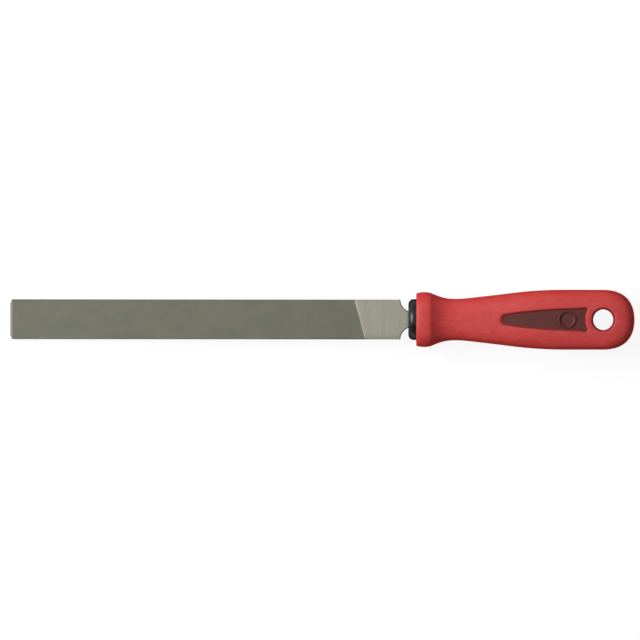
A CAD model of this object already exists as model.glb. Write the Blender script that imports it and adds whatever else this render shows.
"""The looks of the flat hand file: cut and ground steel, black bush, maroon core and red grip.

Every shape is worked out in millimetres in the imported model's frame and written in metres.
"""

import bmesh
import bpy
import math
import numpy as np
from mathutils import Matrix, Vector
from mathutils.geometry import delaunay_2d_cdt


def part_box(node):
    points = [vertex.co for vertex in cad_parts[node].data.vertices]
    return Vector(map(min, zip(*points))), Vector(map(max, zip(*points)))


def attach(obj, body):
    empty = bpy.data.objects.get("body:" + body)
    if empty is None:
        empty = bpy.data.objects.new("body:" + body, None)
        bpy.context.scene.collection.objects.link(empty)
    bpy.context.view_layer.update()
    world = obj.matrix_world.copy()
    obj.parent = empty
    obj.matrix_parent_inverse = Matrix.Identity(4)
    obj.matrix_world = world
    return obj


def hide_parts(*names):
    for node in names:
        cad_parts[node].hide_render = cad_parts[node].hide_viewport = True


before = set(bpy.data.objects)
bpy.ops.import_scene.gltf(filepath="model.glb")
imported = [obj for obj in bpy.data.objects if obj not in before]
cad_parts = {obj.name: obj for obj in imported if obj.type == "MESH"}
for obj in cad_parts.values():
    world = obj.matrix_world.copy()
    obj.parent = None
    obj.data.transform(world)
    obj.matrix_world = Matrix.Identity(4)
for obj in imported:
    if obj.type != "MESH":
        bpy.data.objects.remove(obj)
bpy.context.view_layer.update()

MM = 0.001
WELD = 0.003  # points nearer than this are one point

# ---- places read from the frame ----
(TIP_X, _, _), (POINT_X, HALF_WIDTH, FACE_Z) = [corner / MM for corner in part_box("file_blade")]
(BUSH_X, _, _), (SPIGOT_END_X, BUSH_RADIUS, _) = [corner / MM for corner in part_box("tang_bush")]
(FLANGE_X, _, _), (BUTT_X, _, _) = [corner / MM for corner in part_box("grip_sleeve")]
SEAT_X = (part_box("handle_core")[0] / MM).x

# ---- steel bar ----
SHOULDER_X = TIP_X + 200.0
TANG_HALF_WIDTH = 3.9
TANG_HALF_THICKNESS = 2.2
POINT_HALF_WIDTH = 1.5
POINT_HALF_THICKNESS = 1.1
HOLLOW_RADIUS = HALF_WIDTH - TANG_HALF_WIDTH
TIP_CORNER_LENGTH = 0.9  # the tip's cut corners
TIP_CORNER_WIDTH = 1.9
TIP_BEVEL_DEPTH = 0.5
TEETH_X = TIP_X + 1.3  # the teeth start behind a band of uncut steel
HEEL_Z = FACE_Z - 0.06  # the ground heel lies a little below the tooth tips
POCKET_Z = FACE_Z - 0.75  # the bar's hidden surface under the teeth
POCKET_RECESS = 0.25  # and under the teeth of the +Y edge
POCKET_BEVEL = 0.1
TOOTH_FOOT_Z = POCKET_Z - 0.15  # the teeth reach down past it
EDGE_BREAK = 0.35  # the ground bevel along the bar's long edges
SCALE_SINK = 0.06  # the forge marks' mean depth
SCALE_LUMP = 2.2  # and their size
SCALE_FADE = 8.0  # how far past the bush's front they reach full depth
SCALE_SEED = 5

# ---- teeth ----
ROW_PITCH = 0.5  # along the bar: 20 rows to the centimetre
ROW_SLANT = math.tan(math.radians(15))  # along the bar for each millimetre across it
ROW_DEPTH = 0.17
TOOTH_SHARES = (0.0, 0.24, 0.62)  # valley, crest and back of a tooth along its pitch
OVERCUT_PITCH = 0.80
OVERCUT_SLANT = 1 / math.tan(math.radians(50))  # the other way
OVERCUT_DEPTH = 0.13
HEEL_START_X = SHOULDER_X - 23.4  # where the last row meets the +Y edge
LAST_ROW_X = HEEL_START_X + ROW_SLANT * HALF_WIDTH  # and the bar's middle
CREST_GAP = 0.003  # keeps the tooth tips inside the solid
UPPER_SEED, LOWER_SEED, EDGE_SEED = 11, 12, 31

# ---- handle ----
FLANGE_ROUND = 0.8
OUTLINE = (  # distance behind the flange's face, half width and half thickness
    (FLANGE_ROUND, 13.70, 12.75), (3.0, 14.00, 13.00), (6.4, 13.86, 12.95), (7.3, 13.65, 12.76),
    (8.2, 13.32, 12.32), (10.4, 12.42, 11.30), (13.0, 11.50, 10.38), (19.5, 10.60, 9.55),
    (29.5, 11.30, 9.95), (43.0, 12.88, 10.85), (57.0, 14.48, 11.90), (71.0, 15.25, 12.35),
    (84.0, 15.32, 12.15), (95.9, 15.30, 11.90))
FLANGE_FLARE = 0.20  # the outline's slope at its first point
CIRCLE_SQUARENESS = 0.5523  # a section is an ellipse at this and a rectangle at 1
FLANGE_SQUARENESS = 0.76
BUTT_SQUARENESS = 0.96
BUTT_PLAN_SQUARENESS = 0.645
EYE_X = FLANGE_X + OUTLINE[-1][0]  # the hanging hole's axis
EYE_RADIUS = 5.3
EYE_ROUND = 1.2  # its rolled rim
EYE_LINING = 2.0  # the sleeve's wall round it
MOUTH_BREAK = 0.35  # the broken edge round the bush's seat
SLEEVE_WALL = 2.6
CORE_GAP = 0.02  # keeps the hidden faces of core and sleeve apart
PARTING_HEIGHT = 0.05  # the mould's parting line round the handle's sides
SKIN_STEP = 0.75  # size of the triangles on the skin
HIDDEN_STEP = 1.4  # on hidden faces
PAD_STEP = 0.24  # and on the pad with the ring
FRONT_COLUMNS = 38  # columns of quads across the front of the upper surface
BELT = (0.9, 0.5, 0.25, 0.12, 0.0)  # rows of quads by the parting plane, at these distances
WINDOW_STEP = 0.5  # between the points of the window's outline
EYE_POINTS = 84  # round the hanging hole

# ---- windows in the sleeve ----
NOSE_X = FLANGE_X + 42.9
NOSE_RADIUS = 2.9
WINDOW_END_X = FLANGE_X + 88.0
WINDOW_HALF_WIDTH = 5.75
WINDOW_MID_HALF_WIDTH = 4.95
WINDOW_HOLLOW = 1.5  # how far the rear edge bows forwards
WINDOW_REAR_X = WINDOW_END_X - WINDOW_HOLLOW
WINDOW_CORNER = 0.7
WINDOW_DEPTH = 0.8
LIP_WIDTH = 0.75  # the window's softened edge rolls down from here outside its outline
LIP_REACH = 0.45  # and ends this far inside it
NOSE_REACH = 1.35  # or this much further at the nose
NOSE_FADE = 3.4
REAR_FADE = 3.0  # and nearer its outline in this last stretch before the rear edge
LIP_DROP = 0.70
LIP_CURVE = 1.7  # above 1, the foot is the steepest part
SEAM_REACH = 0.75  # how far the dirt spreads from its line
BADGE_X = WINDOW_END_X - 10.7  # a plain raised ring round a shallow dish
BADGE_RADIUS = 4.6
BADGE_RIM = 0.8
BADGE_SLOPE = 0.18  # the width of its flanks
BADGE_HEIGHT = 0.45
DISH_DEPTH = 0.30
DISH_SLOPE = 0.5

# ---- bush ----
BUSH_EDGE_RADIUS = 2.7
SPIGOT_RADIUS = 6.2
SPIGOT_BEVEL = 0.6
SOCKET_CLEARANCE = 0.06
SOCKET_END_X = POINT_X + 1.5
MOUTH_HALF_WIDTH = 4.45  # the slot's widened mouth
MOUTH_HALF_THICKNESS = 2.6
LEAD_IN_DEPTH = 2.0


# ==== general mesh helpers ====

def add_object(name, data):
    """A new object in the scene."""
    made = bpy.data.objects.new(name, data)
    bpy.context.scene.collection.objects.link(made)
    return made


def piece(name, build, material, body, node, sharp=30.0):
    """A mesh object from what a Build has, declared as riding on a body for a CAD node."""
    mesh = bpy.data.meshes.new(name)
    mesh.from_pydata([tuple(p) for p in np.array(build.points) * MM], [], build.faces)
    bm = bmesh.new()
    bm.from_mesh(mesh)
    bmesh.ops.remove_doubles(bm, verts=bm.verts, dist=WELD * MM)
    bmesh.ops.dissolve_degenerate(bm, edges=bm.edges, dist=0.2 * WELD * MM)
    bmesh.ops.recalc_face_normals(bm, faces=bm.faces)
    bm.to_mesh(mesh)
    bm.free()
    mesh.shade_smooth()
    mesh.set_sharp_from_angle(angle=math.radians(sharp))
    mesh.materials.append(material)
    made = add_object(name, mesh)
    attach(made, body)
    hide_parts(node)
    return made


class Build:
    """Collects points and faces in millimetres."""

    def __init__(self):
        self.points = []
        self.faces = []

    def add(self, points, faces):
        """Adds points and the faces that index them."""
        start = len(self.points)
        self.points.extend(map(tuple, points))
        self.faces.extend(tuple(start + i for i in face) for face in faces)

    def strip(self, rows, closed):
        """Adds a grid of quads between rows of points, closed round each row or open."""
        count = len(rows[0])
        steps = count if closed else count - 1
        faces = [(r * count + i, r * count + (i + 1) % count,
                  (r + 1) * count + (i + 1) % count, (r + 1) * count + i)
                 for r in range(len(rows) - 1) for i in range(steps)]
        self.add(np.concatenate([np.asarray(row, float) for row in rows]), faces)

    def cap(self, row):
        """Adds a fan that closes a ring of points."""
        row = np.asarray(row, float)
        count = len(row)
        self.add([*row, row.mean(0)], [(i, (i + 1) % count, count) for i in range(count)])

    def mirror(self):
        """Adds a copy of everything so far, mirrored in the plane z = 0."""
        self.add(np.array(self.points) * (1, 1, -1), [face[::-1] for face in self.faces])


def arc_through(a, middle, b, count):
    """Points along the circle from a through a middle point to b, both ends included."""
    a, middle, b = (complex(*p) for p in (a, middle, b))
    ratio = (b - a) / (middle - a)
    centre = (middle - a) * (ratio - abs(ratio) ** 2) / (2j * ratio.imag) + a
    start, halfway, end = (np.angle(p - centre) for p in (a, middle, b))
    first = (halfway - start + math.pi) % (2 * math.pi) - math.pi
    second = (end - halfway + math.pi) % (2 * math.pi) - math.pi
    angles = np.linspace(start, start + first + second, count)
    radius = abs(a - centre)
    return np.column_stack([centre.real + radius * np.cos(angles),
                            centre.imag + radius * np.sin(angles)])


def inside(points, loop):
    """Which points lie inside a closed loop, by counting crossings."""
    x, y = points[:, 0], points[:, 1]
    result = np.zeros(len(points), bool)
    for (x0, y0), (x1, y1) in zip(loop, np.roll(loop, -1, 0)):
        if y0 != y1:
            crosses = (y0 > y) != (y1 > y)
            result ^= crosses & (x < x0 + (y - y0) * (x1 - x0) / (y1 - y0))
    return result


def fill(outer, holes, spacing):
    """Even triangles over the area inside one loop and outside some others."""
    def within(places):
        keep = inside(places, outer)
        for hole in holes:
            keep &= ~inside(places, hole)
        return keep

    low, high = outer.min(0), outer.max(0)
    rise = spacing * math.sqrt(0.75)
    lines = []
    for k, y in enumerate(np.arange(low[1] + rise / 2, high[1], rise)):
        xs = np.arange(low[0] + spacing * (0.25 + 0.5 * (k % 2)), high[0], spacing)
        lines.append(np.column_stack([xs, np.full(len(xs), y)]))
    grid = np.concatenate(lines)
    grid = grid[within(grid)]
    border = np.concatenate([outer, *holes])
    near = np.zeros(len(grid), bool)
    for point in border:
        near |= ((grid - point) ** 2).sum(1) < (0.6 * spacing) ** 2
    edges, start = [], 0
    for loop in (outer, *holes):
        count = len(loop)
        edges += [(start + i, start + (i + 1) % count) for i in range(count)]
        start += count
    result = delaunay_2d_cdt([Vector(p) for p in (*border, *grid[~near])], edges, [], 0, 1e-7)
    flat, triangles = np.array([tuple(p) for p in result[0]]), np.array(result[2])
    return flat, triangles[within(flat[triangles].mean(1))]


def bezier(t, controls):
    """The value at a share t of the cubic curve with these four control values."""
    weights = ((1 - t) ** 3, 3 * t * (1 - t) ** 2, 3 * t ** 2 * (1 - t), t ** 3)
    return sum(w * c for w, c in zip(weights, controls))


def store(mesh, name, values):
    """Stores one number for each point of a mesh, for its material to read."""
    layer = mesh.attributes.new(name, "FLOAT", "POINT")
    layer.data.foreach_set("value", values.astype(np.float32))


# ==== the handle's surface ====

def clamped_spline(x, y, start_slope, end_slope):
    """A smooth curve through points, with a given slope at each end."""
    count, step = len(x), np.diff(x)
    chord = np.diff(y) / step
    system = np.zeros((count, count))
    right = np.zeros(count)
    system[0, :2] = 2 * step[0], step[0]
    right[0] = 6 * (chord[0] - start_slope)
    system[-1, -2:] = step[-1], 2 * step[-1]
    right[-1] = 6 * (end_slope - chord[-1])
    for i in range(1, count - 1):
        system[i, i - 1:i + 2] = step[i - 1], 2 * (step[i - 1] + step[i]), step[i]
        right[i] = 6 * (chord[i] - chord[i - 1])
    bend = np.linalg.solve(system, right)

    def value(at):
        i = np.clip(np.searchsorted(x, at) - 1, 0, count - 2)
        a, b = x[i + 1] - at, at - x[i]
        return ((bend[i] * a ** 3 + bend[i + 1] * b ** 3) / (6 * step[i])
                + (y[i] / step[i] - bend[i] * step[i] / 6) * a
                + (y[i + 1] / step[i] - bend[i + 1] * step[i] / 6) * b)
    return value


STATIONS, HALF_WIDTHS, HALF_THICKNESSES = np.array(OUTLINE).T
half_width_at = clamped_spline(STATIONS, HALF_WIDTHS, FLANGE_FLARE, 0.0)
half_thickness_at = clamped_spline(STATIONS, HALF_THICKNESSES, FLANGE_FLARE, 0.0)


def section_curve(v, half_width, half_thickness, square):
    """The (y, z) of a quarter section: v = 0 is its side and v = 1 its top."""
    b0, b1, b2, b3 = (1 - v) ** 3, 3 * (1 - v) ** 2 * v, 3 * (1 - v) * v ** 2, v ** 3
    return half_width * (b0 + b1 + square * b2), half_thickness * (square * b1 + b2 + b3)


class Skin:
    """The handle's upper surface drawn in by an inset, unrolled on to a flat sheet.

    The sheet's first axis is X and its second runs from the top line down to the sides. Past
    the hanging hole's axis the sheet turns round that axis, as the butt does.
    """

    def __init__(self, inset):
        self.inset = inset
        half_width = half_width_at(EYE_X - FLANGE_X) - inset
        across, along = section_curve(np.linspace(0, 1, 65), half_width, BUTT_X - EYE_X - inset,
                                      BUTT_PLAN_SQUARENESS)
        self.turns = np.arctan2(across, along)[::-1]
        self.stretches = np.hypot(across, along)[::-1] / half_width

    def size(self, x):
        """Half width, half thickness and squareness of the section at x."""
        distance = np.minimum(x, EYE_X) - FLANGE_X
        share = distance / (EYE_X - FLANGE_X)
        square = FLANGE_SQUARENESS + share * (BUTT_SQUARENESS - FLANGE_SQUARENESS)
        return (half_width_at(distance) - self.inset, half_thickness_at(distance) - self.inset,
                square)

    def girth(self, x):
        """About the length of the quarter section at x, which sets the sheet's scale."""
        half_width, half_thickness, square = self.size(x)
        mean = np.sqrt((half_width ** 2 + half_thickness ** 2) / 2)
        return math.pi / 2 * mean * (1 + 0.45 * (square - CIRCLE_SQUARENESS))

    def stretch(self, turn):
        """How far the butt reaches at an angle from the X axis, next to its half width."""
        return np.interp(np.abs(turn), self.turns, self.stretches)

    def lift(self, sheet):
        """Sheet points to points in space."""
        x, across = np.asarray(sheet, float).T
        past = x > EYE_X
        reach = np.where(past, np.hypot(x - EYE_X, across), np.abs(across))
        v = 1 - np.minimum(reach / self.girth(x), 1)
        y, z = section_curve(v, *self.size(x))
        turn = np.arctan2(across, x - EYE_X)
        out = y * self.stretch(turn)
        return np.column_stack([np.where(past, EYE_X + out * np.cos(turn), x),
                                np.where(past, out * np.sin(turn), y * np.sign(across)), z])

    def _find(self, x, y):
        """The v at which the section at x is y wide."""
        low, high = np.zeros(len(x)), np.ones(len(x))
        size = self.size(x)
        for _ in range(40):
            middle = (low + high) / 2
            wide = section_curve(middle, *size)[0] > y
            low, high = np.where(wide, middle, low), np.where(wide, high, middle)
        return (low + high) / 2

    def sheet(self, plan):
        """Points seen from above to sheet points."""
        x, y = np.asarray(plan, float).T
        past = x > EYE_X
        turn = np.arctan2(y, x - EYE_X)
        reach = np.where(past, np.hypot(x - EYE_X, y) / self.stretch(turn), np.abs(y))
        girth = (1 - self._find(x, reach)) * self.girth(x)
        return np.column_stack([np.where(past, EYE_X + girth * np.cos(turn), x),
                                np.where(past, girth * np.sin(turn), np.sign(y) * girth)])

    def height(self, plan):
        """The surface's z at points seen from above."""
        return self.lift(self.sheet(plan))[:, 2]


def offset_loop(loop, distance):
    """A counter-clockwise loop moved outwards, by one distance or by one for each point."""
    along = np.roll(loop, -1, 0) - np.roll(loop, 1, 0)
    along /= np.linalg.norm(along, axis=1)[:, None]
    return loop + np.reshape(distance, (-1, 1)) * np.column_stack([along[:, 1], -along[:, 0]])


def window_loop():
    """The window seen from above, counter-clockwise: nose, bowed sides, hollow rear edge."""
    centre_x, end_x = NOSE_X + NOSE_RADIUS, WINDOW_END_X
    middle_x = (centre_x + end_x) / 2
    nose = arc_through((centre_x, NOSE_RADIUS), (NOSE_X, 0), (centre_x, -NOSE_RADIUS),
                       int(math.pi * NOSE_RADIUS / WINDOW_STEP))
    side = arc_through((centre_x, -NOSE_RADIUS), (middle_x, -WINDOW_MID_HALF_WIDTH),
                       (end_x, -WINDOW_HALF_WIDTH), int((end_x - centre_x) / WINDOW_STEP))
    rear = arc_through((end_x, -WINDOW_HALF_WIDTH), (WINDOW_REAR_X, 0),
                       (end_x, WINDOW_HALF_WIDTH), int(2.1 * WINDOW_HALF_WIDTH / WINDOW_STEP))
    corner = np.array([end_x, -WINDOW_HALF_WIDTH])
    low = side[np.linalg.norm(side - corner, axis=1) > WINDOW_CORNER]
    middle = rear[np.abs(rear[:, 1]) < WINDOW_HALF_WIDTH - WINDOW_CORNER]
    t = np.linspace(0, 1, 7)[1:-1, None]
    bend = (1 - t) ** 2 * low[-1] + 2 * t * (1 - t) * corner + t ** 2 * middle[0]
    low_flip, bend_flip = (low * (1, -1))[::-1], (bend * (1, -1))[::-1]
    return np.concatenate([nose[:-1], low, bend, middle, bend_flip, low_flip[:-1]])


def window_floor():
    """The foot of the window's softened edge: inside its outline, most of all at the nose."""
    window = window_loop()
    reach = LIP_REACH + NOSE_REACH * np.exp(-(window[:, 0] - NOSE_X) / NOSE_FADE)
    before_rear = WINDOW_REAR_X - window[:, 0]
    return offset_loop(window, -reach * np.clip(before_rear / REAR_FADE, 0, 1))


def circle_loop(radius):
    """A circle about the hanging hole's axis, seen from above, counter-clockwise."""
    angles = np.linspace(0, 2 * math.pi, EYE_POINTS, endpoint=False)
    return np.column_stack([EYE_X + radius * np.cos(angles), radius * np.sin(angles)])


def side_rows(skin, start_x):
    """Rows of sheet points from the front, round the butt and back, one for each belt distance."""
    straight = np.linspace(start_x, EYE_X, int((EYE_X - start_x) / SKIN_STEP) + 1)
    turns = np.linspace(-math.pi / 2, math.pi / 2, 66)[1:-1]
    end_girth = skin.girth(EYE_X)
    rows = []
    for distance in BELT:
        girth = skin.girth(straight) - distance
        low = np.column_stack([straight, -girth])
        radius = end_girth - distance
        butt = np.column_stack([EYE_X + radius * np.cos(turns), radius * np.sin(turns)])
        rows.append(np.concatenate([low, butt, (low * (1, -1))[::-1]]))
    return rows


def front_sheet(skin, start_x):
    """Sheet points across the front of the upper surface, from the -Y side to the +Y side."""
    girth = skin.girth(start_x)
    inner = np.linspace(-(girth - BELT[0]), girth - BELT[0], FRONT_COLUMNS)
    outer = girth - np.array(BELT[1:])
    across = np.concatenate([-outer[::-1], inner, outer])
    return np.column_stack([np.full(len(across), start_x), across])


def upper_surface(build, skin, start_x, holes, spacing, parting=0.0):
    """Adds the handle's upper surface down to the parting plane, with holes left in it."""
    rows = side_rows(skin, start_x)
    front = front_sheet(skin, start_x)[len(BELT):-len(BELT)]
    outer = np.concatenate([rows[0], front[::-1]])
    flat, faces = fill(outer, [skin.sheet(hole) for hole in holes], spacing)
    build.add(skin.lift(flat), faces)
    belt = [skin.lift(row) for row in rows]
    if parting:
        outward = belt[-1].copy()
        outward[:, 0] = np.maximum(outward[:, 0] - EYE_X, 0)
        outward /= np.linalg.norm(outward, axis=1)[:, None]
        outward *= np.clip((belt[-1][:, :1] - start_x) / 3, 0, 1)
        belt[-1] = belt[-1] + parting * outward
        belt[-2] = belt[-2] + 0.8 * parting * outward
    build.strip(belt, False)


def front_ring(skin, start_x, round_share=None):
    """The whole section at the front as a closed ring, or a ring of the flange's rounding."""
    sheet = front_sheet(skin, start_x)
    if round_share is None:
        upper = skin.lift(sheet)
    else:
        half_width, half_thickness, square = skin.size(start_x)
        v = 1 - np.minimum(np.abs(sheet[:, 1]) / skin.girth(start_x), 1)
        hold = CIRCLE_SQUARENESS * FLANGE_ROUND
        drop = (FLANGE_ROUND, FLANGE_ROUND - hold, hold * FLANGE_FLARE, 0.0)
        back = (FLANGE_ROUND, FLANGE_ROUND, hold, 0.0)
        inset = bezier(round_share, drop)
        x = start_x - bezier(round_share, back)
        y, z = section_curve(v, half_width - inset, half_thickness - inset, square)
        upper = np.column_stack([np.full(len(v), x), y * np.sign(sheet[:, 1]), z])
    lower = (upper * (1, 1, -1))[::-1][1:-1]
    return np.concatenate([upper, lower])


def ring_at(x, radius, angles):
    """A circle square to the tool's axis, one point for each angle."""
    return np.column_stack([np.full(len(angles), x), radius * np.cos(angles),
                            radius * np.sin(angles)])


def slot_ring(x, half_width, half_thickness, angles):
    """A rectangle square to the tool's axis, one point for each angle."""
    reach = np.minimum(half_width / np.maximum(np.abs(np.cos(angles)), 1e-9),
                       half_thickness / np.maximum(np.abs(np.sin(angles)), 1e-9))
    return ring_at(x, reach, angles)


# ==== the handle's pieces ====

def grip_sleeve(material):
    """The soft sleeve: outer skin, rounded window lips, hanging hole, mouth and inner skin."""
    outer, inner = Skin(0.0), Skin(SLEEVE_WALL)
    lip, foot = offset_loop(window_loop(), LIP_WIDTH), window_floor()
    eye = circle_loop(EYE_RADIUS)
    start_x = FLANGE_X + FLANGE_ROUND
    build = Build()
    eye_outer = circle_loop(EYE_RADIUS + EYE_ROUND)
    eye_inner = circle_loop(EYE_RADIUS + EYE_LINING)
    upper_surface(build, outer, start_x, [lip, eye_outer], SKIN_STEP, PARTING_HEIGHT)
    upper_surface(build, inner, SEAT_X, [foot, eye_inner], HIDDEN_STEP)

    # The window's lip slopes down to a wall that runs on to the inner skin.
    rows = []
    for share in np.linspace(0, 1, 10):
        edge = lip + (foot - lip) * share
        height = outer.height(edge) - LIP_DROP * share ** LIP_CURVE
        rows.append(np.column_stack([edge, height]))
    rows.append(np.column_stack([foot, outer.height(foot) - WINDOW_DEPTH]))
    rows.append(inner.lift(inner.sheet(foot)))
    build.strip(rows, True)

    # The hanging hole's rim rolls over into a straight wall that meets its mirror image.
    rim = outer.height(eye_outer)
    beside = outer.height(circle_loop(EYE_RADIUS + EYE_ROUND + 0.1))
    slope = (beside - rim) / 0.1
    hold, fall = 0.2 * EYE_ROUND, 0.4 * EYE_ROUND
    radii = (EYE_RADIUS + EYE_ROUND, EYE_RADIUS + EYE_ROUND - hold, EYE_RADIUS, EYE_RADIUS)
    heights = (rim, rim - slope * hold, rim - EYE_ROUND + fall, rim - EYE_ROUND)
    direction = (eye - (EYE_X, 0)) / EYE_RADIUS
    rows = []
    for t in np.linspace(0, 1, 8):
        ring = direction * bezier(t, radii) + (EYE_X, 0)
        rows.append(np.column_stack([ring, bezier(t, heights)]))
    for share in (0.66, 0.33, 0.0):
        rows.append(np.column_stack([eye, heights[3] * share]))
    build.strip(rows, True)
    lining = inner.lift(inner.sheet(eye_inner))
    build.strip([lining, lining * (1, 1, 0)], True)
    build.mirror()

    # The flange: its rounded edge, flat face, the bush's seat and the way back to the inner skin.
    rings = [front_ring(outer, start_x, t) for t in np.linspace(1, 0, 7)]
    face = rings[-1]
    angles = np.arctan2(face[:, 2], face[:, 1])
    mouth = ring_at(FLANGE_X, BUSH_RADIUS + MOUTH_BREAK, angles)
    rings += [face + (mouth - face) * share for share in (0.3, 0.65, 1.0)]
    rings += [ring_at(FLANGE_X + 0.1, BUSH_RADIUS + 0.1, angles),
              ring_at(FLANGE_X + MOUTH_BREAK, BUSH_RADIUS, angles),
              ring_at(SEAT_X, BUSH_RADIUS, angles), front_ring(inner, SEAT_X)]
    build.strip(rings, True)
    made = piece("grip_sleeve_soft", build, material, "handle", "grip_sleeve")
    store_seam(made.data, dirt_lines(lip, foot))


def dirt_lines(lip, foot):
    """Where dirt settles, seen from above: down the window's lip and in the hanging hole's rim."""
    behind_nose = np.maximum(lip[:, :1] - NOSE_X, 0)
    first = 0.6 - 0.2 * np.exp(-behind_nose / 2)  # nearer the lip's top at the nose
    lines = [lip + (foot - lip) * share for share in (first, (first + 0.85) / 2, 0.85, 1.05)]
    lines = [line[line[:, 0] < WINDOW_REAR_X] for line in lines]
    rear = offset_loop(foot, -0.4)
    return [*lines, rear[rear[:, 0] > WINDOW_REAR_X - 0.5], circle_loop(EYE_RADIUS + 0.45)]


def store_seam(mesh, lines):
    """Stores how near each point is to some lines seen from above, for the dirt on them."""
    places = np.array([v.co.xy for v in mesh.vertices]) / MM
    nearest = np.full(len(places), np.inf)
    for point in np.concatenate(lines):
        nearest = np.minimum(nearest, ((places - point) ** 2).sum(1))
    store(mesh, "seam", np.clip(1 - np.sqrt(nearest) / SEAM_REACH, 0, 1))


def badge_height(plan):
    """The plain ring that stands up from the window, and the shallow dish inside it."""
    radius = np.hypot(*(plan - (BADGE_X, 0)).T)
    half = (BADGE_RIM + BADGE_SLOPE) / 2
    ring = np.clip((half - np.abs(radius - BADGE_RADIUS + BADGE_RIM / 2)) / BADGE_SLOPE, 0, 1)
    dish = np.clip((BADGE_RADIUS - BADGE_RIM - DISH_SLOPE / 2 - radius) / DISH_SLOPE, 0, 1)
    return BADGE_HEIGHT * ring * ring * (3 - 2 * ring) - DISH_DEPTH * dish * dish * (3 - 2 * dish)


def handle_core(material):
    """The hard core: a closed body with a pad in each window and the tang's socket in front."""
    skin = Skin(SLEEVE_WALL + CORE_GAP)
    pad = Skin(WINDOW_DEPTH)
    window = offset_loop(window_floor(), CORE_GAP)
    start_x = SEAT_X + CORE_GAP
    build = Build()
    eye = circle_loop(EYE_RADIUS + EYE_LINING + CORE_GAP)
    upper_surface(build, skin, start_x, [window, eye], HIDDEN_STEP)
    flat, faces = fill(window, [], PAD_STEP)
    build.add(np.column_stack([flat, pad.height(flat) + badge_height(flat)]), faces)
    edge = np.column_stack([window, pad.height(window)])
    build.strip([edge, skin.lift(skin.sheet(window))], True)
    lining = skin.lift(skin.sheet(eye))
    build.strip([lining, lining * (1, 1, 0)], True)
    build.mirror()

    # The front face, the bush's seat and the socket.
    face = front_ring(skin, start_x)
    angles = np.arctan2(face[:, 2], face[:, 1])
    rings = [face, ring_at(start_x, SPIGOT_RADIUS + CORE_GAP, angles),
             ring_at(SPIGOT_END_X, SPIGOT_RADIUS + CORE_GAP, angles)]
    rings += [slot_ring(x, *socket_size(x), angles) for x in (SPIGOT_END_X, SOCKET_END_X)]
    build.strip(rings, True)
    build.cap(rings[-1])
    piece("handle_core_hard", build, material, "handle", "handle_core")


def tang_size(x):
    """Half width and half thickness of the tang's taper at x."""
    start = SHOULDER_X + HOLLOW_RADIUS
    share = max(0.0, (x - start) / (POINT_X - start))
    return (TANG_HALF_WIDTH + share * (POINT_HALF_WIDTH - TANG_HALF_WIDTH),
            TANG_HALF_THICKNESS + share * (POINT_HALF_THICKNESS - TANG_HALF_THICKNESS))


def socket_size(x):
    """Half width and half thickness of the socket at x."""
    half_width, half_thickness = tang_size(x)
    return half_width + SOCKET_CLEARANCE, half_thickness + SOCKET_CLEARANCE


def tang_bush(material):
    """The glossy bush: rounded head, spigot, and a slot with a widened mouth for the tang."""
    angles = np.linspace(0, 2 * math.pi, 144, endpoint=False)
    throat_x = BUSH_X + LEAD_IN_DEPTH
    rings = [slot_ring(throat_x, *socket_size(throat_x), angles),
             slot_ring(BUSH_X + 0.25, MOUTH_HALF_WIDTH - 0.1, MOUTH_HALF_THICKNESS - 0.1, angles),
             slot_ring(BUSH_X, MOUTH_HALF_WIDTH + 0.1, MOUTH_HALF_THICKNESS + 0.1, angles)]
    flat = BUSH_RADIUS - BUSH_EDGE_RADIUS
    mouth = rings[-1]
    rim = ring_at(BUSH_X, flat, angles)
    rings += [mouth + (rim - mouth) * share for share in (0.35, 0.7)]
    for turn in np.linspace(0, math.pi / 2, 14):
        rings.append(ring_at(BUSH_X + BUSH_EDGE_RADIUS * (1 - math.cos(turn)),
                             flat + BUSH_EDGE_RADIUS * math.sin(turn), angles))
    rings += [ring_at(FLANGE_X - 0.2, BUSH_RADIUS, angles),
              ring_at(FLANGE_X + 0.3, BUSH_RADIUS - 0.05, angles),
              ring_at(SEAT_X, BUSH_RADIUS - 0.05, angles),
              ring_at(SEAT_X, SPIGOT_RADIUS, angles),
              ring_at(SPIGOT_END_X - SPIGOT_BEVEL, SPIGOT_RADIUS, angles),
              ring_at(SPIGOT_END_X, SPIGOT_RADIUS - SPIGOT_BEVEL, angles),
              slot_ring(SPIGOT_END_X, *socket_size(SPIGOT_END_X), angles),
              rings[0]]
    build = Build()
    build.strip(rings, True)
    piece("tang_bush_gloss", build, material, "handle", "tang_bush")


# ==== the steel bar ====

def smooth_noise(points, size, seed):
    """A smooth random number, mostly from -1 to 1, at each point, in lumps of about one size."""
    rng = np.random.default_rng(seed)
    total = np.zeros(len(points))
    for _ in range(8):
        wave = rng.normal(size=3) / size
        total += np.sin(points @ wave * 2 + rng.uniform(0, 2 * math.pi))
    return total / 4


def bar_section(half_width, top, bevel, x_side, x_top, slant, recess):
    """A ring round the bar: flat top and bottom, bevelled corners and flat sides.

    The corners' inner points lie at x_top and the sides at x_side. A slant moves each point
    along X as it goes from one side to the other, the opposite way on each face. A recess
    draws in the side that has teeth.
    """
    across = np.linspace(half_width - recess - bevel, bevel - half_width, 14)
    side = top - bevel
    upper = np.array([(x_side, half_width - recess, side), *((x_top, y, top) for y in across),
                      (x_side, -half_width, side)])
    lower = (upper * (1, 1, -1))[::-1]
    upper[:, 0] += slant * (HALF_WIDTH - upper[:, 1])
    lower[:, 0] += slant * (HALF_WIDTH + lower[:, 1])
    return np.concatenate([upper, lower])


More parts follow.
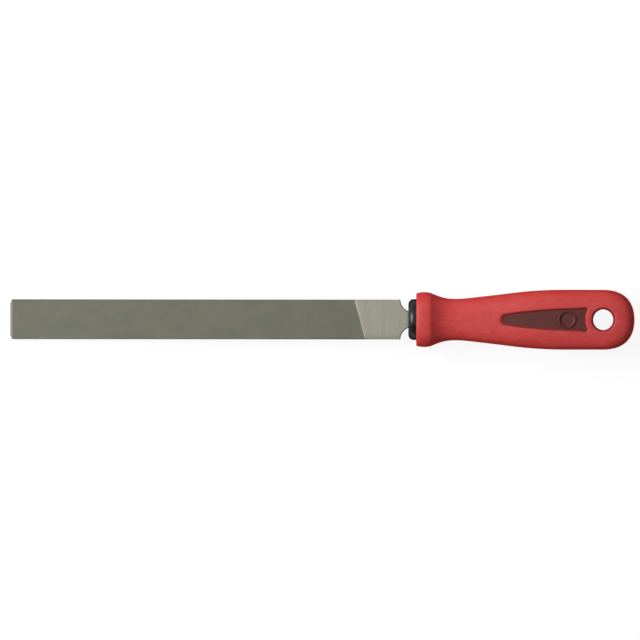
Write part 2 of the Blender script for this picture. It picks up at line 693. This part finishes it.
def bar_steel(material):
    """The bar but for its teeth: bevelled tip, hidden pocket, ground heel, shoulders and tang."""
    rings = []

    def ring(x, half_width, top, bevel, x_top=None, slant=0.0, recess=0.0):
        x_top = x if x_top is None else x_top
        rings.append(bar_section(half_width, top, bevel, x, x_top, slant, recess))

    ring(TIP_X, HALF_WIDTH - TIP_CORNER_WIDTH, FACE_Z - TIP_BEVEL_DEPTH, 0.12)
    ring(TIP_X + TIP_CORNER_LENGTH / 2, HALF_WIDTH - TIP_CORNER_WIDTH / 2, HEEL_Z - 0.05, 0.2)
    ring(TIP_X + TIP_CORNER_LENGTH, HALF_WIDTH, HEEL_Z, 0.3)
    ring(TEETH_X, HALF_WIDTH, HEEL_Z, EDGE_BREAK)
    ring(TEETH_X, HALF_WIDTH, POCKET_Z, POCKET_BEVEL, recess=POCKET_RECESS)
    ring(HEEL_START_X, HALF_WIDTH, POCKET_Z, POCKET_BEVEL, slant=ROW_SLANT, recess=POCKET_RECESS)
    ring(HEEL_START_X, HALF_WIDTH, HEEL_Z, EDGE_BREAK, slant=ROW_SLANT)
    for share in np.linspace(0, 1, 9)[1:]:
        x = HEEL_START_X + (SHOULDER_X - 0.02 - HEEL_START_X) * share
        ring(x, HALF_WIDTH, HEEL_Z, EDGE_BREAK, x_top=x - EDGE_BREAK * (share == 1),
             slant=ROW_SLANT * (1 - share))
    # The shoulder's hollow is a quarter circle about a point on the line of the bar's edge.
    first_turn = math.asin(EDGE_BREAK / (HOLLOW_RADIUS + EDGE_BREAK))
    for turn in np.linspace(first_turn, math.pi / 2, 16):
        x = SHOULDER_X + HOLLOW_RADIUS * (1 - math.cos(turn))
        half_width = HALF_WIDTH - HOLLOW_RADIUS * math.sin(turn)
        thin = (x - SHOULDER_X) / HOLLOW_RADIUS
        top = HEEL_Z + thin * (TANG_HALF_THICKNESS - HEEL_Z)
        ring(x, half_width, top, EDGE_BREAK, x_top=x - EDGE_BREAK * math.cos(turn))
    for x in np.linspace(SHOULDER_X + HOLLOW_RADIUS, POINT_X - 0.8, 60)[1:]:
        half_width, half_thickness = tang_size(x)
        bevel = min(EDGE_BREAK + 0.03 * (x - SHOULDER_X - HOLLOW_RADIUS), 0.75)
        ring(x, half_width, half_thickness, bevel)
    ring(POINT_X, POINT_HALF_WIDTH - 0.5, POINT_HALF_THICKNESS - 0.4, 0.4)

    # Hammer and scale marks sink into the tang, more and more past the bush's front.
    marked = []
    for section in rings:
        far = np.clip((section[:, 0] - BUSH_X) / SCALE_FADE, 0, 1)
        sink = SCALE_SINK * far * (1 + smooth_noise(section, SCALE_LUMP, SCALE_SEED))
        inward = section * (0, 1, 1)
        inward /= np.linalg.norm(inward, axis=1)[:, None]
        marked.append(section - inward * sink[:, None])
    build = Build()
    build.strip(marked, True)
    build.cap(marked[0])
    build.cap(marked[-1])
    piece("file_bar", build, material, "file", "file_blade", 25.0)


def tooth_sheet(name, material, side, seed):
    """One broad face's double-cut teeth: slanted rows, notched by the overcut's grooves."""
    rng = np.random.default_rng(seed)
    # Depths at the valley, at the crest on top of the steep front, and on the gentle back. Each
    # row and each groove is cut a little deeper or shallower than the next.
    row_shares, row_depths = np.array(TOOTH_SHARES), np.array([1.0, 0.0, 0.42])
    cut_shares, cut_depths = np.array([0.0, 0.42]), np.array([1.0, 0.0])
    rows = int((LAST_ROW_X - TIP_X + ROW_SLANT * HALF_WIDTH) / ROW_PITCH) + 1
    first = LAST_ROW_X - rows * ROW_PITCH
    row_at = (first + ROW_PITCH * (np.arange(rows)[:, None] + row_shares)).ravel()
    row_depth = (ROW_DEPTH * rng.uniform(0.97, 1.03, rows)[:, None] * row_depths).ravel()
    row_at, row_depth = np.append(row_at, LAST_ROW_X), np.append(row_depth, 0.3 * ROW_DEPTH)
    reach = 1.1 * HALF_WIDTH * (ROW_SLANT + OVERCUT_SLANT)
    low_cut, high_cut = first - reach, LAST_ROW_X + reach
    cuts = int((high_cut - low_cut) / OVERCUT_PITCH)
    cut_at = (low_cut + OVERCUT_PITCH * (np.arange(cuts)[:, None] + cut_shares)).ravel()
    cut_depth = (OVERCUT_DEPTH * rng.uniform(0.93, 1.07, cuts)[:, None] * cut_depths).ravel()

    across = (row_at[:, None] - cut_at[None, :]) / (ROW_SLANT + OVERCUT_SLANT)
    along = row_at[:, None] - across * ROW_SLANT
    depth = np.maximum(row_depth[:, None], cut_depth[None, :])
    depth += rng.uniform(0, 0.02, depth.shape)
    edge = np.maximum(np.abs(across) - (HALF_WIDTH - EDGE_BREAK - 0.1), 0)
    points = np.stack([along, across, FACE_Z - CREST_GAP - depth - 0.9 * edge], 2)

    near = (np.abs(across) < HALF_WIDTH + 0.5) & (along > TEETH_X - 0.8)
    used = near[:-1, :-1] & near[1:, :-1] & near[1:, 1:] & near[:-1, 1:]
    index = np.arange(near.size).reshape(near.shape)
    quads = np.stack([index[:-1, :-1], index[1:, :-1], index[1:, 1:], index[:-1, 1:]], 2)[used]
    kept, quads = np.unique(quads, return_inverse=True)
    quads = quads.reshape(-1, 4)
    points = points.reshape(-1, 3)[kept]

    mesh = bpy.data.meshes.new(name)
    mesh.from_pydata(points.tolist(), [], quads.tolist())
    bm = bmesh.new()
    bm.from_mesh(mesh)
    side_y = HALF_WIDTH - 0.01
    for place, outward in (((0, side_y, 0), (0, 1, 0)), ((0, -side_y, 0), (0, -1, 0)),
                           ((TEETH_X, 0, 0), (-1, 0, 0))):
        bmesh.ops.bisect_plane(bm, geom=[*bm.verts, *bm.edges, *bm.faces], dist=1e-5,
                               plane_co=place, plane_no=outward, clear_outer=True)
    border = [e for e in bm.edges if e.is_boundary]
    for item in bmesh.ops.extrude_edge_only(bm, edges=border)["geom"]:
        if isinstance(item, bmesh.types.BMVert):
            item.co.z = TOOTH_FOOT_Z
    bmesh.ops.holes_fill(bm, edges=[e for e in bm.edges if e.is_boundary])
    if side < 0:
        for vert in bm.verts:
            vert.co.y, vert.co.z = -vert.co.y, -vert.co.z
    bm.verts.index_update()
    build = Build()
    build.add([v.co for v in bm.verts], [[v.index for v in f.verts] for f in bm.faces])
    bm.free()
    bpy.data.meshes.remove(mesh)
    return piece(name, build, material, "file", "file_blade", 22.0)


def edge_teeth(material):
    """The single-cut teeth of one narrow edge. The other edge is left smooth."""
    low_x, high_x = TEETH_X + 0.4, HEEL_START_X + 2 * HALF_WIDTH * ROW_SLANT + 0.5
    rng = np.random.default_rng(EDGE_SEED)
    reach = FACE_Z - EDGE_BREAK - 0.12
    heights = np.linspace(-reach, reach, 9)
    lines = []
    for row in range(int((high_x - low_x) / ROW_PITCH)):
        depth_share = rng.uniform(0.85, 1.1)
        for share, depth in zip(TOOTH_SHARES, (ROW_DEPTH, 0.0, 0.08)):
            x = low_x + (row + share) * ROW_PITCH + 0.12 * heights
            y = np.full(len(x), HALF_WIDTH - 0.02 - depth * depth_share)
            y -= 0.25 * np.maximum(np.abs(heights) - reach + 0.3, 0)
            lines.append(np.column_stack([x, y, heights]))
    build = Build()
    rings = []
    for line in lines:
        back = line[::-1].copy()
        back[:, 1] = HALF_WIDTH - 0.6
        rings.append(np.concatenate([line, back]))
    build.strip(rings, True)
    build.cap(rings[0])
    build.cap(rings[-1])
    return piece("edge_teeth", build, material, "file", "file_blade", 22.0)


# ==== materials ====

def map_range(tree, value, numbers, interpolation="LINEAR"):
    """A value stretched from one range to another and held at the ends."""
    node = tree.nodes.new("ShaderNodeMapRange")
    node.interpolation_type = interpolation
    for socket, number in zip(("From Min", "From Max", "To Min", "To Max"), numbers):
        node.inputs[socket].default_value = number
    tree.links.new(value, node.inputs["Value"])
    return node.outputs["Result"]


class Shader:
    """A material's node tree, with short calls for the nodes used here."""

    def __init__(self, name, colour, roughness, metallic=0.0):
        self.material = bpy.data.materials.new(name)
        self.material.use_nodes = True
        self.tree = self.material.node_tree
        self.nodes, self.links = self.tree.nodes, self.tree.links
        self.surface = self.nodes["Principled BSDF"]
        self.set("Base Color", colour)
        self.set("Roughness", roughness)
        self.set("Metallic", metallic)
        self.place = self.nodes.new("ShaderNodeTexCoord").outputs["Object"]

    def noise(self, scale, detail=3.0, rough=0.5):
        """Noise from 0 to 1 with so many lumps per millimetre along each axis."""
        scaled = self.nodes.new("ShaderNodeMapping")
        scaled.inputs["Scale"].default_value = [s / MM for s in scale]
        self.links.new(self.place, scaled.inputs["Vector"])
        node = self.nodes.new("ShaderNodeTexNoise")
        node.inputs["Scale"].default_value = 1.0
        node.inputs["Detail"].default_value = detail
        node.inputs["Roughness"].default_value = rough
        self.links.new(scaled.outputs["Vector"], node.inputs["Vector"])
        return node.outputs["Fac"]

    def spread(self, value, low, high, out_low=0.0, out_high=1.0):
        """A value stretched from one range to another, 0 to 1 by default."""
        return map_range(self.tree, value, (low, high, out_low, out_high))

    def feed(self, socket, item):
        """Gives a socket a colour, a number or what another socket puts out."""
        if isinstance(item, tuple):
            socket.default_value = (*item, 1)
        elif isinstance(item, (int, float)):
            socket.default_value = item
        else:
            self.links.new(item, socket)

    def maths(self, operation, *items):
        """One or two values or numbers put through an operation."""
        node = self.nodes.new("ShaderNodeMath")
        node.operation = operation
        for socket, item in zip(node.inputs, items):
            self.feed(socket, item)
        return node.outputs["Value"]

    def mix(self, share, a, b):
        """A colour between two colours, each one given as numbers or as a socket."""
        node = self.nodes.new("ShaderNodeMix")
        node.data_type = "RGBA"
        self.links.new(share, node.inputs["Factor"])
        self.feed(node.inputs[6], a)  # the sockets for colours
        self.feed(node.inputs[7], b)
        return node.outputs[2]

    def axis(self, name):
        """One of the object coordinates, in metres."""
        node = self.nodes.new("ShaderNodeSeparateXYZ")
        self.links.new(self.place, node.inputs["Vector"])
        return node.outputs[name]

    def attribute(self, name):
        """A number stored on the mesh's points."""
        node = self.nodes.new("ShaderNodeAttribute")
        node.attribute_name = name
        return node.outputs["Fac"]

    def gloss(self, level, start, end):
        """Sets the gloss seen head on, which fades out from one degree of slant to another."""
        node = self.nodes.new("ShaderNodeLayerWeight")
        node.inputs["Blend"].default_value = 0.5
        self.set("Specular IOR Level", self.spread(node.outputs["Facing"], start, end, level, 0.0))

    def set(self, name, item):
        """Feeds one of the surface's sockets."""
        self.feed(self.surface.inputs[name], item)

    def bump(self, height, distance):
        """Adds a bump of a height in millimetres to those already there."""
        node = self.nodes.new("ShaderNodeBump")
        node.inputs["Strength"].default_value = 1.0
        node.inputs["Distance"].default_value = distance * MM
        self.links.new(height, node.inputs["Height"])
        normal = self.surface.inputs["Normal"]
        if normal.is_linked:
            self.links.new(normal.links[0].from_socket, node.inputs["Normal"])
        self.links.new(node.outputs["Normal"], normal)


def red_grip_material():
    """Soft-touch red elastomer: fine spark texture, faint flow marks and light scuffs."""
    s = Shader("red_grip", (0.43, 0.035, 0.033), 0.5)
    s.gloss(0.30, 0.05, 0.40)
    flow = s.noise((0.05, 0.16, 0.16), 4)
    mottle = s.noise((0.35, 0.35, 0.35), 5, 0.6)
    scuff = s.spread(s.noise((0.12, 1.3, 1.3), 6, 0.7), 0.56, 0.74)
    tone = s.mix(s.spread(flow, 0.3, 0.7), (0.405, 0.031, 0.029), (0.445, 0.037, 0.035))
    tone = s.mix(s.spread(mottle, 0.40, 0.70, 0.0, 0.70), tone, (0.47, 0.050, 0.047))
    tone = s.mix(s.maths("MULTIPLY", scuff, 0.35), tone, (0.55, 0.12, 0.11))
    tone = s.mix(s.maths("MULTIPLY", s.attribute("seam"), 0.85), tone, (0.11, 0.010, 0.010))
    s.set("Base Color", tone)
    s.set("Roughness", s.spread(mottle, 0.3, 0.7, 0.44, 0.60))
    s.bump(s.noise((5.0, 5.0, 5.0), 2), 0.035)
    s.bump(s.noise((0.6, 0.6, 0.6)), 0.03)
    return s.material


def maroon_core_material():
    """Hard dark maroon plastic with a fine eroded texture."""
    s = Shader("maroon_core", (0.090, 0.023, 0.021), 0.55)
    s.set("Specular IOR Level", 0.15)
    mottle = s.noise((0.5, 0.5, 0.5), 5, 0.6)
    tone = s.mix(s.spread(mottle, 0.35, 0.7), (0.080, 0.020, 0.018), (0.100, 0.027, 0.024))
    s.set("Base Color", tone)
    s.set("Roughness", s.spread(s.noise((2.5, 2.5, 2.5), 4), 0.3, 0.7, 0.42, 0.62))
    s.bump(s.noise((4.0, 4.0, 4.0), 3, 0.6), 0.05)
    return s.material


def black_bush_material():
    """Glossy black plastic with faint mould flow and hairline scratches round it."""
    s = Shader("black_bush", (0.010, 0.011, 0.012), 0.16)
    s.gloss(0.38, 0.22, 0.62)
    haze = s.noise((0.4, 0.9, 0.9), 5, 0.6)
    hair = s.spread(s.noise((9.0, 0.35, 0.35), 3, 0.6), 0.60, 0.72)
    tone = s.mix(s.spread(haze, 0.4, 0.7), (0.004, 0.006, 0.007), (0.010, 0.013, 0.014))
    s.set("Base Color", tone)
    rough = s.spread(haze, 0.3, 0.7, 0.27, 0.36)
    s.set("Roughness", s.maths("ADD", rough, s.maths("MULTIPLY", hair, 0.12)))
    s.bump(hair, 0.004)
    return s.material


def ground_steel_material():
    """Ground heel and edges, running into dark forge scale on the tang."""
    s = Shader("ground_steel", (0.5, 0.49, 0.42), 0.42, 1.0)
    lines = s.noise((7.0, 0.10, 0.5), 6, 0.65)
    fine = s.noise((22.0, 0.5, 2.0), 3, 0.6)
    cloud = s.noise((0.45, 0.05, 0.16), 4, 0.55)
    tone = s.mix(s.spread(lines, 0.3, 0.7), (0.335, 0.328, 0.262), (0.40, 0.392, 0.313))
    tone = s.mix(s.spread(cloud, 0.3, 0.7, 0.0, 0.5), tone, (0.46, 0.452, 0.36))
    scale = s.noise((0.8, 0.8, 0.8), 6, 0.65)
    scale_tone = s.mix(s.spread(scale, 0.35, 0.65), (0.055, 0.060, 0.070), (0.16, 0.145, 0.13))
    start = s.maths("MULTIPLY", s.maths("SUBTRACT", scale, 0.5), 6 * MM)
    forged = s.spread(s.maths("ADD", s.axis("X"), start), (BUSH_X + 2.5) * MM, (BUSH_X + 10) * MM)
    # A burr catches the light where the last row of teeth ends, more so on the +Y side.
    slanted = s.maths("ADD", s.axis("X"), s.maths("MULTIPLY", s.axis("Y"), ROW_SLANT))
    burr = s.spread(slanted, (LAST_ROW_X + 0.2) * MM, (LAST_ROW_X + 1.1) * MM, 1.0, 0.0)
    burr = s.maths("MULTIPLY", burr, s.spread(s.axis("Y"), -6 * MM, 4 * MM, 0.15, 0.8))
    tone = s.mix(burr, tone, (0.56, 0.54, 0.43))
    # The neck is ground a little brighter than the heel.
    neck = s.spread(s.axis("X"), (SHOULDER_X - 1) * MM, BUSH_X * MM, 0.0, 0.55)
    tone = s.mix(neck, tone, (0.56, 0.55, 0.45))
    # The hollows' rims and the strip along the -Y edge are less well ground, and darker.
    along = s.maths("SUBTRACT", s.axis("X"), (SHOULDER_X + HOLLOW_RADIUS) * MM)
    across = s.maths("SUBTRACT", s.maths("ABSOLUTE", s.axis("Y")), HALF_WIDTH * MM)
    reach = s.maths("SQRT", s.maths("ADD", s.maths("MULTIPLY", along, along),
                                    s.maths("MULTIPLY", across, across)))
    rim = s.spread(reach, HOLLOW_RADIUS * MM, (HOLLOW_RADIUS + 0.8) * MM, 1.0, 0.0)
    rim = s.maths("MULTIPLY", rim, s.spread(s.axis("Y"), -3 * MM, 3 * MM, 0.85, 0.35))
    tone = s.mix(rim, tone, (0.09, 0.095, 0.085))
    low_edge = s.spread(s.axis("Y"), -HALF_WIDTH * MM, (3.2 - HALF_WIDTH) * MM, 0.42, 0.0)
    tone = s.mix(low_edge, tone, (0.18, 0.18, 0.145))
    tip = s.spread(s.axis("X"), TEETH_X * MM, (TEETH_X + 1) * MM, 1.0, 0.0)
    tone = s.mix(tip, tone, (0.21, 0.207, 0.165))
    s.set("Base Color", s.mix(forged, tone, scale_tone))
    rough = s.spread(lines, 0.3, 0.7, 0.34, 0.44)
    s.set("Roughness", s.maths("ADD", rough, s.maths("MULTIPLY", forged, 0.22)))
    s.bump(lines, 0.0025)
    s.bump(fine, 0.0006)
    s.bump(s.maths("MULTIPLY", forged, scale), 0.08)
    return s.material


def cut_steel_material():
    """The hardened teeth: dull grey, darker in the gullets and brighter on the crests."""
    s = Shader("cut_steel", (0.3, 0.3, 0.26), 0.45, 1.0)
    cloud = s.noise((0.06, 0.12, 0.12), 5, 0.6)
    haze = s.noise((0.09, 0.15, 0.15), 4, 0.6)
    grain = s.noise((2.6, 2.6, 2.6), 4, 0.6)
    tone = s.mix(s.attribute("crest"), (0.18, 0.18, 0.144), (0.45, 0.448, 0.364))
    tone = s.mix(s.spread(cloud, 0.45, 0.65, 0.0, 0.40), tone, (0.30, 0.27, 0.20))
    tone = s.mix(s.spread(haze, 0.45, 0.65, 0.0, 0.40), tone, (0.20, 0.22, 0.20))
    tone = s.mix(s.spread(grain, 0.45, 0.75, 0.0, 0.35), tone, (0.20, 0.195, 0.155))
    s.set("Base Color", tone)
    s.set("Roughness", s.spread(grain, 0.3, 0.7, 0.40, 0.55))
    s.bump(grain, 0.01)
    return s.material


def store_crest(mesh, axis, top):
    """Stores how near each point is to the tooth tips, from 0 to 1."""
    height = np.abs([v.co[axis] for v in mesh.vertices]) / MM
    store(mesh, "crest", np.clip(1 - (top - height) / ROW_DEPTH, 0, 1))


# ==== floor, lights and camera ====

FRAME_WIDTH = 328.2  # millimetres across the picture
AIM = (-1.23, -0.28)  # the picture's centre
CAMERA_DISTANCE = 9.0
CAMERA_ROLL = math.radians(0.06)
SENSOR = 36.0  # millimetres
FLOOR_REACH = 12.0  # metres, from the middle to each edge
KEY_PLACE = (-0.91, 0.25, 0.91)
KEY_SIZE = (0.72, 0.60)
KEY_POWER = 24.5  # watts
SKY_LEAN = (-0.40, 0.50, 1.0)  # where the sky is brightest
SKY_RANGE = (0.30, 0.95, 0.03, 0.75)  # its strength rises between two cosines from that way


def resting_plane():
    """Height at X = 0 and slope of the surface that the tool lies on: tip edge and flange."""
    slope = (FACE_Z - half_thickness_at(STATIONS[1])) / (FLANGE_X + STATIONS[1] - TEETH_X)
    return -FACE_Z - slope * TEETH_X, slope


def make_floor():
    """A plain pale floor that touches the tool's tip and flange."""
    height, slope = resting_plane()
    corners = [(FLOOR_REACH * x, FLOOR_REACH * y, height * MM + slope * FLOOR_REACH * x)
               for x, y in ((-1, -1), (1, -1), (1, 1), (-1, 1))]
    mesh = bpy.data.meshes.new("floor")
    mesh.from_pydata(corners, [], [(0, 1, 2, 3)])
    s = Shader("pale_floor", (0.10, 0.10, 0.10), 0.8)
    s.set("Specular IOR Level", 0.0)
    s.set("Emission Color", (1, 1, 1))
    s.set("Emission Strength", 0.90)
    mesh.materials.append(s.material)
    floor = add_object("floor", mesh)


def make_key():
    """A soft rectangular light from the left, aimed at the tool's middle."""
    data = bpy.data.lights.new("key", "AREA")
    data.shape = "RECTANGLE"
    data.size, data.size_y = KEY_SIZE
    data.energy = KEY_POWER
    light = add_object("key", data)
    light.location = KEY_PLACE
    light.rotation_euler = (-Vector(KEY_PLACE)).to_track_quat("-Z", "Y").to_euler()


def make_surround():
    """A soft sky, brightest above the tool and a little to the left and beyond."""
    world = bpy.data.worlds.new("surround")
    world.use_nodes = True
    tree = world.node_tree
    place = tree.nodes.new("ShaderNodeTexCoord")
    lean = tree.nodes.new("ShaderNodeVectorMath")
    lean.operation = "DOT_PRODUCT"
    lean.inputs[1].default_value = Vector(SKY_LEAN).normalized()
    tree.links.new(place.outputs["Generated"], lean.inputs[0])
    strength = map_range(tree, lean.outputs["Value"], SKY_RANGE, "SMOOTHSTEP")
    background = tree.nodes["Background"]
    background.inputs["Color"].default_value = (1, 1, 1, 1)
    tree.links.new(strength, background.inputs["Strength"])
    bpy.context.scene.world = world


def make_camera():
    """A long lens straight above the tool, with the tip to the left."""
    data = bpy.data.cameras.new("camera")
    data.sensor_width = SENSOR
    data.lens = SENSOR * CAMERA_DISTANCE / (FRAME_WIDTH * MM)
    data.clip_end = 40
    camera = add_object("camera", data)
    camera.location = (AIM[0] * MM, AIM[1] * MM, CAMERA_DISTANCE)
    camera.rotation_euler = (0, 0, CAMERA_ROLL)
    bpy.context.scene.camera = camera


# ==== putting it together ====

steel, cut = ground_steel_material(), cut_steel_material()
bar_steel(steel)
for name, side, seed in (("teeth_upper", 1, UPPER_SEED), ("teeth_lower", -1, LOWER_SEED)):
    store_crest(tooth_sheet(name, cut, side, seed).data, 2, FACE_Z)
store_crest(edge_teeth(cut).data, 1, HALF_WIDTH)
tang_bush(black_bush_material())
handle_core(maroon_core_material())
grip_sleeve(red_grip_material())
make_floor()
make_key()
make_surround()
make_camera()
bpy.context.scene.view_settings.view_transform = "Standard"
